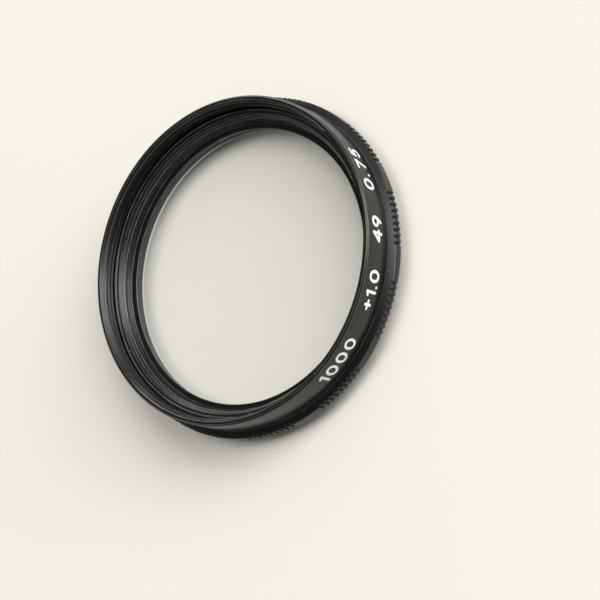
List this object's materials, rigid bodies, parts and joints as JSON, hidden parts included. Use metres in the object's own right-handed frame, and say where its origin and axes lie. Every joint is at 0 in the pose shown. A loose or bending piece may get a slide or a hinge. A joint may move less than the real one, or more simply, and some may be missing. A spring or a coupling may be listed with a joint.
{
  "type": "close-up filter",
  "caption": "Black screw-in ring with grouped knurling that holds a weak plano-convex magnifying lens in front of a camera lens.",
  "frame": {"origin": "centre of the rim of the rear thread, on which the filter lies", "axes": "+Z along the optical axis out of the front thread; -Y through the middle of one knurl group"},
  "size_m": [0.0532, 0.0532, 0.0099],
  "materials": {
    "black_anodised": "black anodised, fine satin with bright wear on the edges",
    "black_retainer": "black anodised, satin, turned",
    "lens_glass": "clear polished optical glass with a ground edge"
  },
  "bodies": {
    "root": {"filter_ring": "black_anodised", "retaining_ring": "black_retainer", "lens_element": "lens_glass"}
  },
  "joints": []
}
